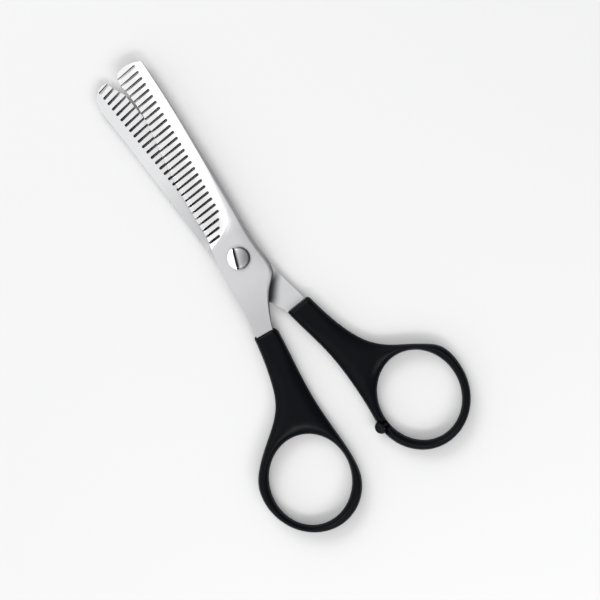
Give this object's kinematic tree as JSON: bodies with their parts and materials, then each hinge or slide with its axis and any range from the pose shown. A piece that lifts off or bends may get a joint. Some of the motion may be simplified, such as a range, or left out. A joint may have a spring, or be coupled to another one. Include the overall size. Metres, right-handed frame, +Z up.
{
  "type": "thinning shears",
  "caption": "Hairdressing thinning shears with two toothed blades, a slotted pivot screw and moulded finger-ring handles.",
  "frame": {"origin": "on the pivot axis, in the plane the shears lie on", "axes": "+Y to the tips, halfway between the blades; +Z up through the screw head; +X to the side of the back handle"},
  "size_m": [0.0789, 0.1642, 0.0071],
  "materials": {
    "blade_steel": "satin ground steel with polished bevels",
    "handle_plastic": "semi-gloss black moulded plastic",
    "screw_steel": "polished steel",
    "washer_plastic": "natural nylon",
    "bumper_rubber": "matte black rubber"
  },
  "bodies": {
    "back_half": {"back_blade": "blade_steel", "back_handle": "handle_plastic", "ring_bumper": "bumper_rubber", "friction_washer": "washer_plastic"},
    "front_half": {"front_blade": "blade_steel", "front_handle": "handle_plastic"},
    "screw": {"tension_screw": "screw_steel"}
  },
  "joints": [
    {"name": "pivot", "type": "hinge", "parent": "back_half", "child": "front_half", "pos_m": [0, 0, 0.0028], "axis": [0, 0, -1], "range_deg": [-8.4, 130]},
    {"name": "screw_turn", "type": "hinge", "parent": "back_half", "child": "screw", "pos_m": [0, 0, 0.0028], "axis": [0, 0, 1], "range_deg": [-45, 45]}
  ]
}
